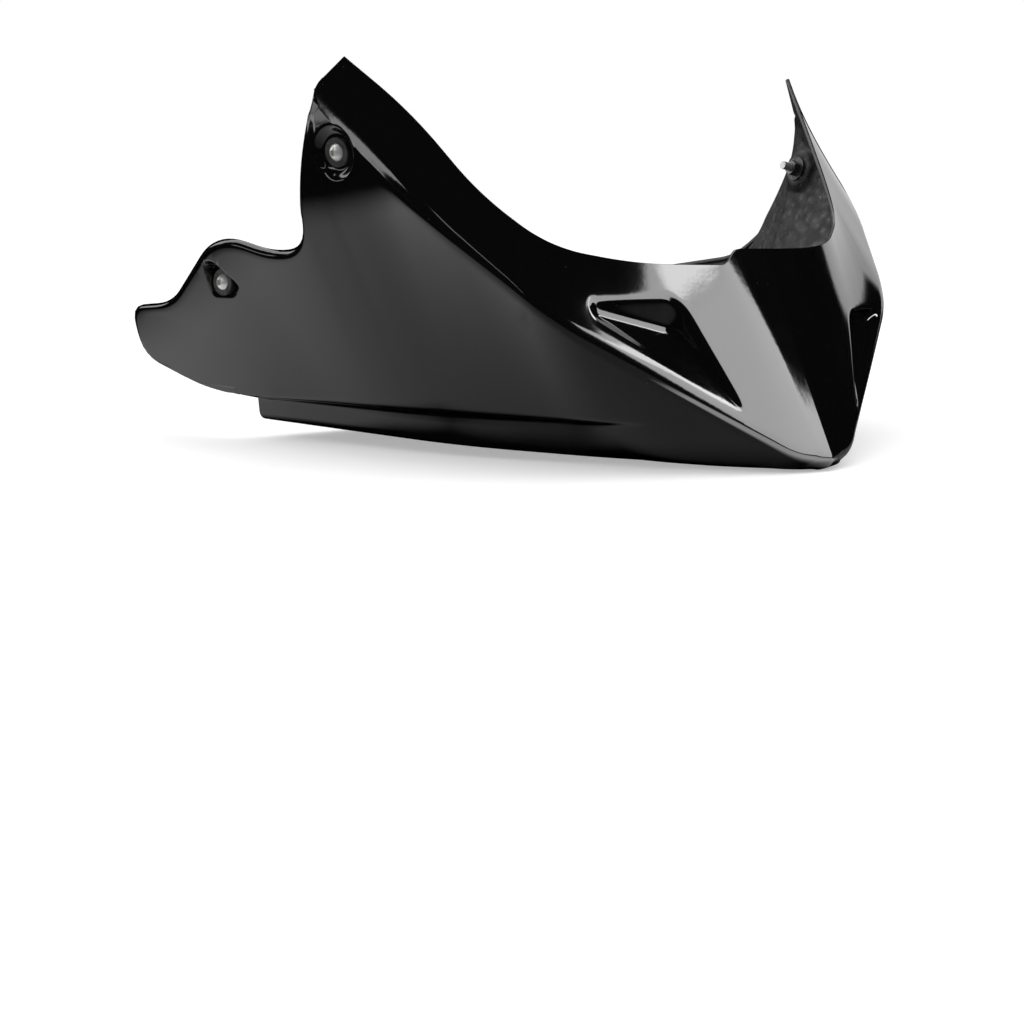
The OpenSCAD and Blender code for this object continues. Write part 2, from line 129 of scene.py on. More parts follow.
def sample(line, fractions):
    runs = run_lengths(line)
    at = np.clip(fractions, 0, 1) * runs[-1]
    return np.stack([np.interp(at, runs, line[:, k]) for k in range(line.shape[1])], -1)


def rim_line(s):
    tip = [HALF_WIDTH - 29, WING_Y[LEFT] - 12, TIP_Z[LEFT]]
    if s == LEFT:
        return rounded([
            [on_face(s, 0, RIM_Z), 0], [on_face(s, 45, RIM_Z), 20],
            [on_face(s, 0.5 * BEND_X, RIM_Z + 3), 22],
            [[BEND_X - 38, NOSE_Y + 110, RIM_Z + 19], 24],
            [[BEND_X - 17, NOSE_Y + 136, RIM_Z + 45], 20], [tip, 0]])
    return rounded([
        [on_face(s, 0, RIM_Z), 0], [on_face(s, 30, RIM_Z), 3],
        [on_face(s, 42, RIM_Z - 10), 4], [on_face(s, 0.59 * BEND_X, RIM_Z - 9), 25],
        [[BEND_X - 20, NOSE_Y + 95, RIM_Z + 1], 24],
        [[BEND_X + 3, NOSE_Y + 132, RIM_Z + 32], 24],
        [[HALF_WIDTH - 34, WING_Y[RIGHT] - 51, TIP_Z[RIGHT] - 34], 30],
        [[HALF_WIDTH - 17, WING_Y[RIGHT] - 8, TIP_Z[RIGHT]], 0]])


def crease_line(s):
    return rounded([
        [on_face(s, 0, NOSE_Z), 0], [on_face(s, 28, NOSE_Z + 1), 14],
        [on_face(s, BEND_X, BEND_Z), 24],
        [on_side(WING_Y[s] - 74, WING_Z - 71), 30], [on_side(WING_Y[s], WING_Z), 0]])


def edge_line(s):
    """Rear edge in side view, from the wing's corner round the tail to the bilge."""
    y, z = TAIL_Y[s], TAIL_Z[s]
    if s == LEFT:
        return rounded([
            [[WING_Y[s], WING_Z], 0], [[WING_Y[s] + 2, 208], 14], [[39, z - 1], 26],
            [[y - 10, z - 17], 16], [[y + 1, 67], 22], [[y - 11, BILGE_Z[s] + 9], 0]])
    return rounded([
        [[WING_Y[s], WING_Z], 0], [[WING_Y[s] + 5, 213], 10], [[44, z], 24],
        [[82, z - 2], 12], [[130, z + 10], 28], [[y - 52, z - 40], 18],
        [[y - 4, z - 44], 14], [[y, 56], 20], [[y - 52, LEDGE_Z + 6], 16],
        [[FLOOR_Y + 4, LEDGE_Z + 5], 0]])


def chine_line(s):
    z = BILGE_Z[s]
    return rounded([
        [[0, NOSE_Y + 5, 2], 0], [[24, NOSE_Y + 12, 2], 10],
        [[90, -122, 2 + 0.17 * z], 30], [[150, -14, 2 + 0.45 * z], 40],
        [[float(side_x(FLOOR_Y, z)), FLOOR_Y, z], 0]])


def fold_share(line):
    """Share of an edge's length that lies on the centre facet."""
    past = line[:, 0] - FACET_HALF - FACET_SPREAD * line[:, 2]
    k = max([i for i in range(len(line) - 1) if past[i] < 0], default=0)
    runs = run_lengths(line)
    return (runs[k] + past[k] / (past[k] - past[k + 1]) * (runs[k + 1] - runs[k])) / runs[-1]


def sample_fold(line, cols):
    share = fold_share(line)
    at = np.where(cols < FOLD_COLS, share * cols / FOLD_COLS,
                  lerp(share, 1, (cols - FOLD_COLS) / (CREASE_COLS - FOLD_COLS)))
    return sample(line, at)


def panel(top, foot, f):
    """Side panel from its top edge to the bilge corner, at fraction f."""
    q = lerp(top, foot, f)
    top_in = side_x(top[:, 1], top[:, 2]) - top[:, 0]
    foot_in = side_x(foot[:, 1], foot[:, 2]) - foot[:, 0]
    x = side_x(q[:, 1], q[:, 2]) - lerp(top_in, foot_in, f[:, 0])
    return np.stack([x, q[:, 1], q[:, 2]], -1)


# Behind the nose the keel strip gains its width over one run. Its first points stand
# back from the bilge corner, and come level with it over another
KEEL_RUN, KEEL_TIP_RUN, KEEL_TIP_BACK = 60, 40, 7


def keel_points(foot):
    run = foot[:, 1] - NOSE_Y - 5
    back = KEEL_TIP_BACK * (1 - smooth(run / KEEL_TIP_RUN))
    return np.stack([KEEL_HALF * smooth((run + 1) / KEEL_RUN), foot[:, 1] + back,
                     0 * run], -1)


# Mesh steps down a column: front band, rounded crease, side panel, then the run to the
# lip, the lip, the ledge, its inner corner, the bilge's upper part, its bend and floor
BAND, ROLL, SIDE = 26, 5, 26
LOWER = (1, 3, 2, 3, 3, 8, 8)
ROWS = BAND + ROLL + SIDE + sum(LOWER)
# The ledge under the right side grows from its start over its run. The lip lies no lower
# than these shares of the side panel, without a ledge and with one
LEDGE_START_Y, LEDGE_RUN, PLAIN_SHARE, LEDGE_SHARE = -140, 60, 0.8, 0.94
LIP_R, LEDGE_R, BILGE_R = 3.0, 6, 38


def steps(n, last=False):
    count = n * FINE
    return [k / count for k in range(count + (1 if last else 0))]


def lower_rows(s, top, foot, keel, f0, pull=0.0):
    """Side panel from fraction f0 down, round the ledge and the bilge, to the keel.
    Where pull is 1 a column runs forward first, so that it stays above a tail's lower edge."""
    ledge = smooth((foot[:, 1:2] - LEDGE_START_Y) / LEDGE_RUN) * (s == RIGHT)
    z_lip = np.minimum(LEDGE_Z, top[:, 2:] - 4)
    f_lip = np.minimum(lerp(PLAIN_SHARE, LEDGE_SHARE, ledge), np.maximum(
        f0 + 0.02, (top[:, 2:] - z_lip) / (top[:, 2:] - foot[:, 2:])))
    f_last = f_lip - np.minimum(0.04, (f_lip - f0) * 0.3)

    def pulled(f):
        plain = panel(top, foot, f)
        early = 1 - (1 - np.clip((f - f0) / (f_lip - f0), 0, 1)) ** 2
        y = lerp(top[:, 1:2], foot[:, 1:2], lerp(f, f0 + (1 - f0) * early, pull))[:, 0]
        inset = side_x(plain[:, 1], plain[:, 2]) - plain[:, 0]
        return np.stack([side_x(y, plain[:, 2]) - inset, y, plain[:, 2]], -1)

    lip = pulled(f_lip)
    inner = lerp(pulled(f_lip + 0.03), lip - [LEDGE_STEP, 0, 3], ledge)
    corner = foot - [0.6 * LEDGE_STEP, 0, 0] * ledge
    low = np.minimum(lerp(BILGE_R, LEDGE_R, ledge), np.minimum(
        0.42 * length(keel - corner), 0.8 * length(corner - inner)))
    end = pulled(f_last)
    cut = np.minimum(LIP_R, 0.45 * np.minimum(length(lip - end), length(inner - lip)))
    cut_in = np.minimum(cut, 0.1 * length(corner - inner))
    lip_a, lip_b = toward(lip, end, cut), toward(lip, inner, cut)
    inner_a, inner_b = toward(inner, lip, cut), toward(inner, corner, cut_in)
    low_a, low_b = toward(corner, inner, low), toward(corner, keel, low)
    rows = [pulled(lerp(f0, f_last, t)) for t in steps(SIDE)]
    rows += [lerp(end, lip_a, t) for t in steps(LOWER[0])]
    rows += [arc(lip_a, lip, lip_b, t) for t in steps(LOWER[1])]
    rows += [lerp(lip_b, inner_a, t) for t in steps(LOWER[2])]
    rows += [arc(inner_a, inner, inner_b, t) for t in steps(LOWER[3])]
    rows += [lerp(inner_b, low_a, t) for t in steps(LOWER[4])]
    rows += [arc(low_a, corner, low_b, t) for t in steps(LOWER[5])]
    return rows + [lerp(low_b, keel, t) for t in steps(LOWER[6], last=True)]


def crease_block(s):
    """Columns from the nose's middle to the wing's corner, through the crease."""
    cols = np.arange(CREASE_COLS * STEPS * FINE + 1) / (STEPS * FINE)
    rim, crease = sample_fold(rim_line(s), cols), sample_fold(crease_line(s), cols)
    foot = sample(chine_line(s), cols / CREASE_COLS * CREASE_SHARE)
    r = np.minimum(CREASE_R, 0.4 * np.minimum(length(crease - rim), length(foot - crease)))
    f0 = r / length(foot - crease)
    a, b = toward(crease, rim, r), panel(crease, foot, f0)
    rows = [lerp(rim, a, t) for t in steps(BAND)]
    rows += [arc(a, crease, b, t) for t in steps(ROLL)]
    return np.stack(rows + lower_rows(s, crease, foot, keel_points(foot), f0), 1)


# The tail's top edge turns inwards by this many degrees. The roll grows over one height
# above the tail's end, and dies out above the tail's top over another
ROLL_TURN, ROLL_FROM_Z, ROLL_GROWS, ROLL_ENDS = 80, 50, 40, 24
# Share of the tail's columns from which they run forward first, and over which share
PULL_FROM, PULL_RUN = 0.3, 0.5


def tail_block(s, cols):
    """Columns from the rear edge, which is rolled inwards along the tail's top."""
    edge = sample(edge_line(s), cols / TAIL_COLS)
    top = np.stack([side_x(edge[:, 0], edge[:, 1]), edge[:, 0], edge[:, 1]], -1)
    foot = sample(chine_line(s), lerp(CREASE_SHARE, 1, cols / TAIL_COLS))
    span = length(foot - top)
    roll = smooth((top[:, 2:] - ROLL_FROM_Z) / ROLL_GROWS)
    roll = roll * (1 - smooth((top[:, 2:] - TAIL_Z[s] - 2) / ROLL_ENDS))
    r = np.minimum(1 + ROLL_R, 0.2 * span)
    f0 = r / span
    down = panel(top, foot, f0) - top
    down /= length(down)
    rows = []
    for t in steps(ROLL):
        a = radians(ROLL_TURN) * (1 - t)
        inward = roll * r * (1 - cos(a)) * np.array([1.0, 0, 0])
        rows.append(top + down * r * (1 - sin(a)) - inward)
    pull = (smooth((cols / TAIL_COLS - PULL_FROM) / PULL_RUN) * (s == RIGHT))[:, None]
    return np.stack(rows + lower_rows(s, top, foot, keel_points(foot), f0, pull), 1)


def half_table(s):
    """Points of one half by fine column and fine row; the tail has no front band."""
    front = crease_block(s)
    per = STEPS * FINE
    near = np.arange(1, per) / per
    first = tail_block(s, np.array([1.0]))[0]
    joint = front[-1, BAND * FINE:]
    blend = joint[None] + (first - joint)[None] * near[:, None, None]
    far = tail_block(s, np.arange(per, TAIL_COLS * per + 1) / per)
    tail = np.full((len(blend) + len(far), front.shape[1], 3), np.nan)
    tail[:, BAND * FINE:] = np.concatenate([blend, far])
    table = np.concatenate([front, tail])
    table[..., 0] *= s
    return table


right_table, left_table = half_table(RIGHT), half_table(LEFT)
skin = np.concatenate([right_table[:0:-1], left_table])
MID = len(right_table) - 1

# ---- The duct recesses ----
# Two wedge-shaped recesses pressed into the facets beside the nose, each with a steep
# upper wall, a valley and a long floor that runs out at the facet's lower edge.
DUCT_DEPTH, DUCT_ROUND, PRESS_SOFT, GRID = 11.0, 14.0, 2.1, 0.5
# The facets end here, and the valley's outer end has this share of the full depth
FACETS_END_Y, OUTER_SHARE, MARGIN = -90, 0.4, 10
# Places as shares of the facet's width and height: the outline's upper outer, upper
# inner, foot and lower outer corners, then the valley's outer end and its deepest point
DUCTS = {
    RIGHT: [[0.79, 1.13], [0.475, 1.13], [0.315, 0.34], [0.8, 0.95], [0.8, 1.04],
            [0.51, 0.94]],
    LEFT: [[0.87, 0.98], [0.53, 0.975], [0.29, 0.28], [0.85, 0.92], [0.8, 0.93],
           [0.54, 0.87]]}


def soften(grid, sigma):
    """Blurs a grid of depths, as a mould's rounded edges and corners do."""
    reach = int(4 * sigma) + 1
    kernel = np.exp(-0.5 * (np.arange(-reach, reach + 1) / sigma) ** 2)
    kernel /= kernel.sum()
    for axis in (0, 1):
        grid = np.apply_along_axis(lambda v: np.convolve(v, kernel, "same"), axis, grid)
    return grid


def duct_press(s, x, z):
    """How far a recess stands behind the facet, at width x and height z."""
    q = [np.array(c) * [BEND_X, BEND_Z] for c in DUCTS[s]]
    a, b = toward(q[1], q[0], DUCT_ROUND), toward(q[1], q[2], DUCT_ROUND)
    outline = [q[3], q[0]] + [arc(a, q[1], b, k / 8) for k in range(9)] + [q[2]]
    n = len(outline)
    points = np.array(outline + [q[4], q[5]])
    depths = np.array([1.0] * n + [-OUTER_SHARE * DUCT_DEPTH, -DUCT_DEPTH])
    fans = [[0, 1, n], [1, n + 1, n], [n - 1, 0, n], [n - 1, n, n + 1]]
    fans += [[k, k + 1, n + 1] for k in range(1, n - 1)]
    low, high = points.min(0) - MARGIN, points.max(0) + MARGIN
    gx, gz = np.meshgrid(*[np.arange(low[k], high[k], GRID) for k in (0, 1)], indexing="ij")
    press = np.zeros(gx.shape)
    for i, j, k in fans:
        u, v = points[j] - points[i], points[k] - points[i]
        area = u[0] * v[1] - u[1] * v[0]
        px, pz = gx - points[i, 0], gz - points[i, 1]
        m = (px * v[1] - pz * v[0]) / area
        w = (u[0] * pz - u[1] * px) / area
        inside = (m >= -1e-6) & (w >= -1e-6) & (m + w <= 1 + 1e-6)
        depth = depths[i] + m * (depths[j] - depths[i]) + w * (depths[k] - depths[i])
        press[inside] = np.minimum(0, depth)[inside]
    press = soften(press, PRESS_SOFT / GRID)
    fx, fz = (x - low[0]) / GRID, (z - low[1]) / GRID
    inside = (fx > 1) & (fz > 1) & (fx < press.shape[0] - 2) & (fz < press.shape[1] - 2)
    fx, fz = np.where(inside, fx, 1), np.where(inside, fz, 1)
    i, j = fx.astype(int), fz.astype(int)
    u, v = fx - i, fz - j
    value = ((1 - u) * (1 - v) * press[i, j] + u * (1 - v) * press[i + 1, j]
             + (1 - u) * v * press[i, j + 1] + u * v * press[i + 1, j + 1])
    return np.where(inside, value, 0)


pressed = skin.copy()
front_rows = slice(0, (BAND + ROLL) * FINE + 1)
for s in (RIGHT, LEFT):
    zone = skin[:, front_rows]
    out = np.array([s * SWEEP[s], -1, FRONT_RAKE - SWEEP[s] * FACET_SPREAD])
    out /= np.linalg.norm(out)
    ours = np.nan_to_num(s * zone[..., 0], nan=-1.0)
    press = duct_press(s, np.maximum(ours, 0), np.nan_to_num(zone[..., 2]))
    press = np.where((ours > 0) & (np.nan_to_num(zone[..., 1]) < FACETS_END_Y), press, 0)
    pressed[:, front_rows] += press[..., None] * out

# ---- The screw seats ----
# Round dishes at the upper screws and rounded triangular pockets at the rear ones let
# the washers sit below the surface. Behind each, the laminate is built up to a pad.
SEAT_DEPTH, PAD_DEPTH, SEAT_REACH = 4.0, 8.0, 34
# Each fixing's mount lies this far behind the shell's plain surface, along its screw
SEAT_INSET = 14.6
# A dish's floor and its pad have a radius and a slope round it, and within the third
# radius the dish is made flat
DISH_R, DISH_SLOPE, PAD_R, PAD_SLOPE, FLAT_R, FLAT_SLOPE = 10.8, 6.7, 12, 6, 15, 3
# A pocket's lip and its corner's softness, and its pad's overhang, slope and softness
POCKET_LIP, POCKET_SOFT, PAD_OVER, PAD_LIP, PAD_SOFT = 1.8, 0.8, 1, 5, 1.0
# The pocket's outline, forward and up from the screw, drawn in tens of millimetres
POCKET_UNIT = 10
POCKET = POCKET_UNIT * rounded([
    [[-1.12, 0.2], 0], [[-1.14, 1.22], 0.45], [[-0.15, 1.42], 0.45], [[1.8, -0.2], 0.4],
    [[0.9, -1.02], 0.4], [[-1.1, -1.02], 0.4], [[-1.12, 0.1], 0]], 8)
seats = {}
for mount in frame["record"]["mounts"]:
    if mount["name"].startswith("fixing_"):
        inward = np.array(mount["axis"])
        centre = np.array(mount["pos_m"]) / MM - SEAT_INSET * inward
        seats[mount["name"][len("fixing_"):]] = (centre, -inward)


def seat_axes(normal):
    """Rearward and upward directions in a seat's plane."""
    rear = np.cross(normal, [0, 0, 1.0])
    rear /= np.linalg.norm(rear)
    rear *= np.sign(rear[1])
    up = np.cross(rear, normal)
    return rear, up * np.sign(up[2])


def pocket_distance(fore, up):
    """Distance from the pocket's outline, negative inside it."""
    shape = fore.shape
    p = np.stack([fore.ravel(), up.ravel()], -1)
    best = np.full(len(p), 1e9)
    inside = np.zeros(len(p), bool)
    for a, b in zip(POCKET, np.roll(POCKET, -1, axis=0)):
        ab = b - a
        if ab @ ab < 1e-9:
            continue
        t = np.clip(((p - a) @ ab) / (ab @ ab), 0, 1)
        best = np.minimum(best, np.linalg.norm(p - a - t[:, None] * ab, axis=1))
        crosses = (a[1] > p[:, 1]) != (b[1] > p[:, 1])
        with np.errstate(divide="ignore", invalid="ignore"):
            where = a[0] + (p[:, 1] - a[1]) / ab[1] * ab[0]
        inside ^= crosses & (p[:, 0] < where)
    return np.where(inside, -best, best).reshape(shape)


def soft_min(a, b, soft):
    """The lesser of two heights, with the corner between them rounded."""
    return 0.5 * (a + b - np.sqrt((a - b) ** 2 + soft * soft))


def seat_shift(table, inner):
    """How far each point moves along its seat's normal."""
    shift = np.zeros(table.shape)
    clean = np.nan_to_num(table, nan=1e4)
    for name, (centre, normal) in seats.items():
        near = np.linalg.norm(clean - centre, axis=-1) < SEAT_REACH
        q = clean[near] - centre
        height = q @ normal
        rear, up = seat_axes(normal)
        fore, rise = -(q @ rear), q @ up
        if name.startswith("upper"):
            r = np.hypot(fore, rise)
            if inner:
                move = -(PAD_DEPTH - WALL) * (1 - smooth((r - PAD_R) / PAD_SLOPE))
            else:
                flat = smooth((FLAT_R - r) / FLAT_SLOPE)
                dish = -SEAT_DEPTH * (1 - smooth((r - DISH_R) / DISH_SLOPE))
                move = dish - height * flat
        else:
            edge = pocket_distance(fore, rise)
            if inner:
                mask = 1 - smooth((edge - PAD_OVER) / PAD_LIP)
                move = mask * (soft_min(height, -PAD_DEPTH, PAD_SOFT) - height)
            else:
                mask = 1 - smooth((edge + POCKET_LIP / 2) / POCKET_LIP)
                move = mask * (soft_min(height, -SEAT_DEPTH, POCKET_SOFT) - height)
        shift[near] += move[:, None] * normal
    return shift


def point_normals(table):
    """Outward normals of a table of points, from the steps on both sides."""
    sides = []
    for axis in (0, 1):
        at = np.arange(table.shape[axis])
        ahead = np.take(table, np.minimum(at + FINE, at[-1]), axis)
        behind = np.take(table, np.maximum(at - FINE, 0), axis)
        step = ahead - behind
        step = np.where(np.isnan(step), ahead - table, step)
        sides.append(np.where(np.isnan(step), table - behind, step))
    normal = np.cross(sides[1], sides[0])
    return normal / np.maximum(length(normal), 1e-9)


outer_skin = pressed + seat_shift(skin, inner=False)
normals = point_normals(pressed)
# Near a tail's lower end the columns bunch and cross. The normals there are turned
# outwards, and those of low points that still stray are taken from the side's own plane
FLANK_END, TAIL_FOOT_Z, STRAY = BAND + ROLL + SIDE + 3, 66, 0.93
flank = np.zeros(skin.shape[:2], bool)
tail = TAIL_COLS * STEPS * FINE
for end in (slice(None, tail), slice(-tail, None)):
    flank[end, BAND * FINE:FLANK_END * FINE] = True
side = np.sign(np.nan_to_num(skin[..., 0]))
facing = flank & (normals[..., 0] * side < 0)
normals[facing] *= -1
level = np.stack([side, 0 * side - SIDE_FLARE, 0 * side - SIDE_LEAN], -1)
level /= length(level)
astray = flank & (skin[..., 2] < TAIL_FOOT_Z) & ((normals * level).sum(-1) < STRAY)
normals[astray] = level[astray]
inner_skin = pressed - WALL * normals
inner_skin += seat_shift(inner_skin, inner=True)


# A form that moves a point by more than this, in mm, is meshed in fine steps
LEAST_MOVE = 0.02


def refined(moved):
    """Mesh steps whose form departs from the plain skin, so that they need fine steps."""
    cols, rows = (skin.shape[0] - 1) // FINE, ROWS
    amount = np.nan_to_num(np.abs(moved).max(-1))
    mask = np.zeros((cols, rows), bool)
    for i in range(cols):
        strip = amount[i * FINE:(i + 1) * FINE + 1].max(0)
        for j in range(rows):
            mask[i, j] = strip[j * FINE:(j + 1) * FINE + 1].max() > LEAST_MOVE
    mask[[0, -1]] = False
    mask[:, 0] = False
    return mask


def has(i, j):
    """Whether the step at column i and row j is there: the tails have no front band."""
    cols = (skin.shape[0] - 1) // FINE
    if not (0 <= i < cols and 0 <= j < ROWS):
        return False
    return j >= BAND or TAIL_COLS * STEPS <= i < cols - TAIL_COLS * STEPS


def lattice(mask, step):
    """Faces as lists of (fine column, fine row), finer by the mask, and closed to it."""
    faces = []
    for i in range(mask.shape[0]):
        for j in range(ROWS):
            if not has(i, j):
                continue
            a, b = i * FINE, j * FINE
            if mask[i, j]:
                for u in range(0, FINE, step):
                    for v in range(0, FINE, step):
                        faces.append([(a + u, b + v), (a + u + step, b + v),
                                      (a + u + step, b + v + step), (a + u, b + v + step)])
                continue
            ring = []
            corners = [(a, b), (a + FINE, b), (a + FINE, b + FINE), (a, b + FINE)]
            beside = [(i, j - 1), (i + 1, j), (i, j + 1), (i - 1, j)]
            for k, (p, n) in enumerate(zip(corners, beside)):
                ring.append(p)
                if has(*n) and mask[n]:
                    q = corners[(k + 1) % 4]
                    for t in range(step, FINE, step):
                        ring.append((p[0] + (q[0] - p[0]) * t // FINE,
                                     p[1] + (q[1] - p[1]) * t // FINE))
            faces.append(ring)
    return faces


# Faces across the keel strip, and the fine row on which both its sides lie
KEEL_STEPS, LAST = 8, ROWS * FINE


def keel_faces():
    """The flat strip that the pan stands on, between the two halves' last rows."""
    def key(k, m):
        if m == 0 or k == 0:
            return (MID - k * FINE, LAST)
        return (MID + k * FINE, LAST) if m == KEEL_STEPS else ("keel", k, m)
    faces = []
    for k in range(MID // FINE):
        for m in range(KEEL_STEPS):
            ring = [key(k, m), key(k + 1, m), key(k + 1, m + 1), key(k, m + 1)]
            faces.append([p for n, p in enumerate(ring) if p not in ring[:n]])
    return faces


def place(key, table):
    """Where a vertex lies in a skin's table of points."""
    if key[0] == "keel":
        a = table[MID - key[1] * FINE, LAST]
        return lerp(a, table[MID + key[1] * FINE, LAST], key[2] / KEEL_STEPS)
    return table[key]


outer_faces = lattice(refined(outer_skin - skin), 1) + keel_faces()
pads = seat_shift(pressed - WALL * normals, inner=True)
inner_faces = lattice(refined(pads), 2) + keel_faces()
points, numbers, faces, finishes = [], {}, [], []


def vertex(layer, key, at):
    """The number of a vertex, which is made the first time that it is asked for."""
    if (layer, key) not in numbers:
        numbers[layer, key] = len(points)
        points.append(at * MM)
    return numbers[layer, key]


# The trimmed edge: each open side of the outer skin is carried over to the inner one,
# with its corners eased and its middle crowned a little, as sandpaper leaves them
EASE, CROWN, SHARP_ANGLE = 0.45, 0.1, 42
# Rings across the wall: name, share of the wall, and the finish up to the next ring
LEVELS = (("outer", 0.0, 0), ("edge1", 0.14, 2), ("edge2", 0.5, 2), ("edge3", 0.86, 1),
          ("inner", 1.0, None))
use = {}
for ring in outer_faces:
    for a, b in zip(ring, ring[1:] + ring[:1]):
        use[a, b] = ring
open_sides = {(a, b): ring for (a, b), ring in use.items() if (b, a) not in use}
away = {}
for (a, b), ring in open_sides.items():
    pa, pb = place(a, outer_skin), place(b, outer_skin)
    along = (pb - pa) / max(np.linalg.norm(pb - pa), 1e-9)
    out = (pa + pb) / 2 - np.mean([place(k, outer_skin) for k in ring], axis=0)
    out -= (out @ along) * along
    out /= max(np.linalg.norm(out), 1e-9)
    away[a] = away.get(a, 0) + out
    away[b] = away.get(b, 0) + out
for k in away:
    away[k] = away[k] / max(np.linalg.norm(away[k]), 1e-9)
for layer, table, rings, finish in (("outer", outer_skin, outer_faces, 0),
                                    ("inner", inner_skin, inner_faces, 1)):
    for ring in rings:
        where = [vertex(layer, k, place(k, table) - EASE * away.get(k, 0)) for k in ring]
        faces.append(where if layer == "outer" else where[::-1])
        finishes.append(finish)
for a, b in open_sides:
    for (low, t0, finish), (high, t1, _) in zip(LEVELS, LEVELS[1:]):
        ring = []
        for layer, t, key in ((low, t0, b), (low, t0, a), (high, t1, a), (high, t1, b)):
            at = lerp(place(key, outer_skin), place(key, inner_skin), t)
            inset = 0 if layer == "edge2" else CROWN
            ring.append(vertex(layer, key, at - inset * away[key]))
        faces.append(ring)
        finishes.append(finish)

shell_mesh = bpy.data.meshes.new("shell")
shell_mesh.from_pydata([tuple(p) for p in points], [], faces)
shell_mesh.polygons.foreach_set("material_index", finishes)
sculpt = bmesh.new()
sculpt.from_mesh(shell_mesh)
bmesh.ops.recalc_face_normals(sculpt, faces=sculpt.faces)
sculpt.to_mesh(shell_mesh)
sculpt.free()
shell_mesh.shade_smooth()
shell_mesh.set_sharp_from_angle(angle=radians(SHARP_ANGLE))


def in_scene(name, data):
    """A new object of the scene."""
    made = bpy.data.objects.new(name, data)
    bpy.context.scene.collection.objects.link(made)
    return made


shell = in_scene("shell", shell_mesh)

# ---- The shell's finishes ----
# Outside, a polished black gel coat with a very faint ripple and a little dust. Inside,
# the bare back of the laminate: matt grey-black resin over chopped strands, with specks.


def node(tree, kind, links=(), **values):
    """A node whose inputs are linked to sockets or set to values, by name or number."""
    made = tree.nodes.new(kind)
    for name, value in values.items():
        setattr(made, name, value)
    for name, value in dict(links).items():
        if isinstance(value, bpy.types.NodeSocket):
            tree.links.new(value, made.inputs[name])
        else:
            made.inputs[name].default_value = value
    return made


def group_of(name, inputs, outputs):
    """An empty shader node group with float or vector sockets, and its two end nodes."""
    tree = bpy.data.node_groups.new(name, "ShaderNodeTree")
    for socket, value in inputs.items():
        made = tree.interface.new_socket(socket, in_out="INPUT", socket_type="NodeSocketFloat")
        made.default_value = value
    for socket, kind in outputs.items():
        tree.interface.new_socket(socket, in_out="OUTPUT", socket_type=kind)
    return tree, tree.nodes.new("NodeGroupInput"), tree.nodes.new("NodeGroupOutput")


def times(tree, *masks):
    """The product of masks and values."""
    made = masks[0]
    for mask in masks[1:]:
        made = node(tree, "ShaderNodeMath", {0: made, 1: mask},
                    operation="MULTIPLY").outputs[0]
    return made


# Dust and fine scuffs that lie on every finish: a mask of specks and an uneven haze
specks, specks_in, specks_out = group_of(
    "dust_and_haze", {"Speck Size": 900.0, "Rarity": 0.97, "Amount": 0.5, "Haze Size": 20.0},
    {"Dust": "NodeSocketFloat", "Haze": "NodeSocketFloat"})
place_at = node(specks, "ShaderNodeTexCoord").outputs["Object"]
cells = node(specks, "ShaderNodeTexVoronoi", {
    "Vector": place_at, "Scale": specks_in.outputs["Speck Size"]}, feature="F1")
small = node(specks, "ShaderNodeMapRange", {
    "Value": cells.outputs["Distance"], "From Min": 0.1, "From Max": 0.2, "To Min": 1.0,
    "To Max": 0.0})
rare = node(specks, "ShaderNodeSeparateColor", {"Color": cells.outputs["Color"]})
few = node(specks, "ShaderNodeMath", {
    0: rare.outputs["Red"], 1: specks_in.outputs["Rarity"]}, operation="GREATER_THAN")
amount = times(specks, small.outputs[0], few.outputs[0], specks_in.outputs["Amount"])
haze = node(specks, "ShaderNodeTexNoise", {
    "Vector": place_at, "Scale": specks_in.outputs["Haze Size"], "Detail": 5.0,
    "Roughness": 0.6})
specks.links.new(amount, specks_out.inputs["Dust"])
specks.links.new(haze.outputs["Fac"], specks_out.inputs["Haze"])


def finish(name):
    """A new material, its node tree and its shader."""
    made = bpy.data.materials.new(name)
    made.use_nodes = True
    return made, made.node_tree, made.node_tree.nodes["Principled BSDF"]


def with_group(tree, group, values=()):
    """A group placed in a material, with its own values."""
    made = tree.nodes.new("ShaderNodeGroup")
    made.node_tree = group
    for name, value in dict(values).items():
        made.inputs[name].default_value = value
    return made


def ramp(tree, value, low, high, a, b):
    """Value mapped from the range low..high to a..b."""
    return node(tree, "ShaderNodeMapRange", {
        "Value": value, "From Min": low, "From Max": high, "To Min": a,
        "To Max": b}).outputs[0]


# Sockets of a Mix node that carry its two colours and its result
COLOUR_A, COLOUR_B, COLOUR_OUT = 6, 7, 2


def tint(tree, factor, a, b):
    """Colour between a and b; either may be a socket."""
    a, b = [c if isinstance(c, bpy.types.NodeSocket) else (*c, 1) for c in (a, b)]
    return node(tree, "ShaderNodeMix", {"Factor": factor, COLOUR_A: a, COLOUR_B: b},
                data_type="RGBA").outputs[COLOUR_OUT]


gel_coat, tree, shader = finish("gloss_black_gel_coat")
dust = with_group(tree, specks, {
    "Speck Size": 520.0, "Rarity": 0.992, "Amount": 0.35, "Haze Size": 14.0})
tree.links.new(tint(tree, dust.outputs["Dust"], (0.0025, 0.0025, 0.0027), (0.12, 0.12, 0.115)),
               shader.inputs["Base Color"])
tree.links.new(ramp(tree, dust.outputs["Haze"], 0.3, 0.75, 0.035, 0.085),
               shader.inputs["Roughness"])
where = node(tree, "ShaderNodeTexCoord").outputs["Object"]
ripple = node(tree, "ShaderNodeTexNoise", {"Vector": where, "Scale": 170.0, "Detail": 2.0})
bump = node(tree, "ShaderNodeBump", {
    "Height": ripple.outputs["Fac"], "Strength": 0.05, "Distance": 0.0004})
tree.links.new(bump.outputs[0], shader.inputs["Normal"])
shader.inputs["IOR"].default_value = 1.52

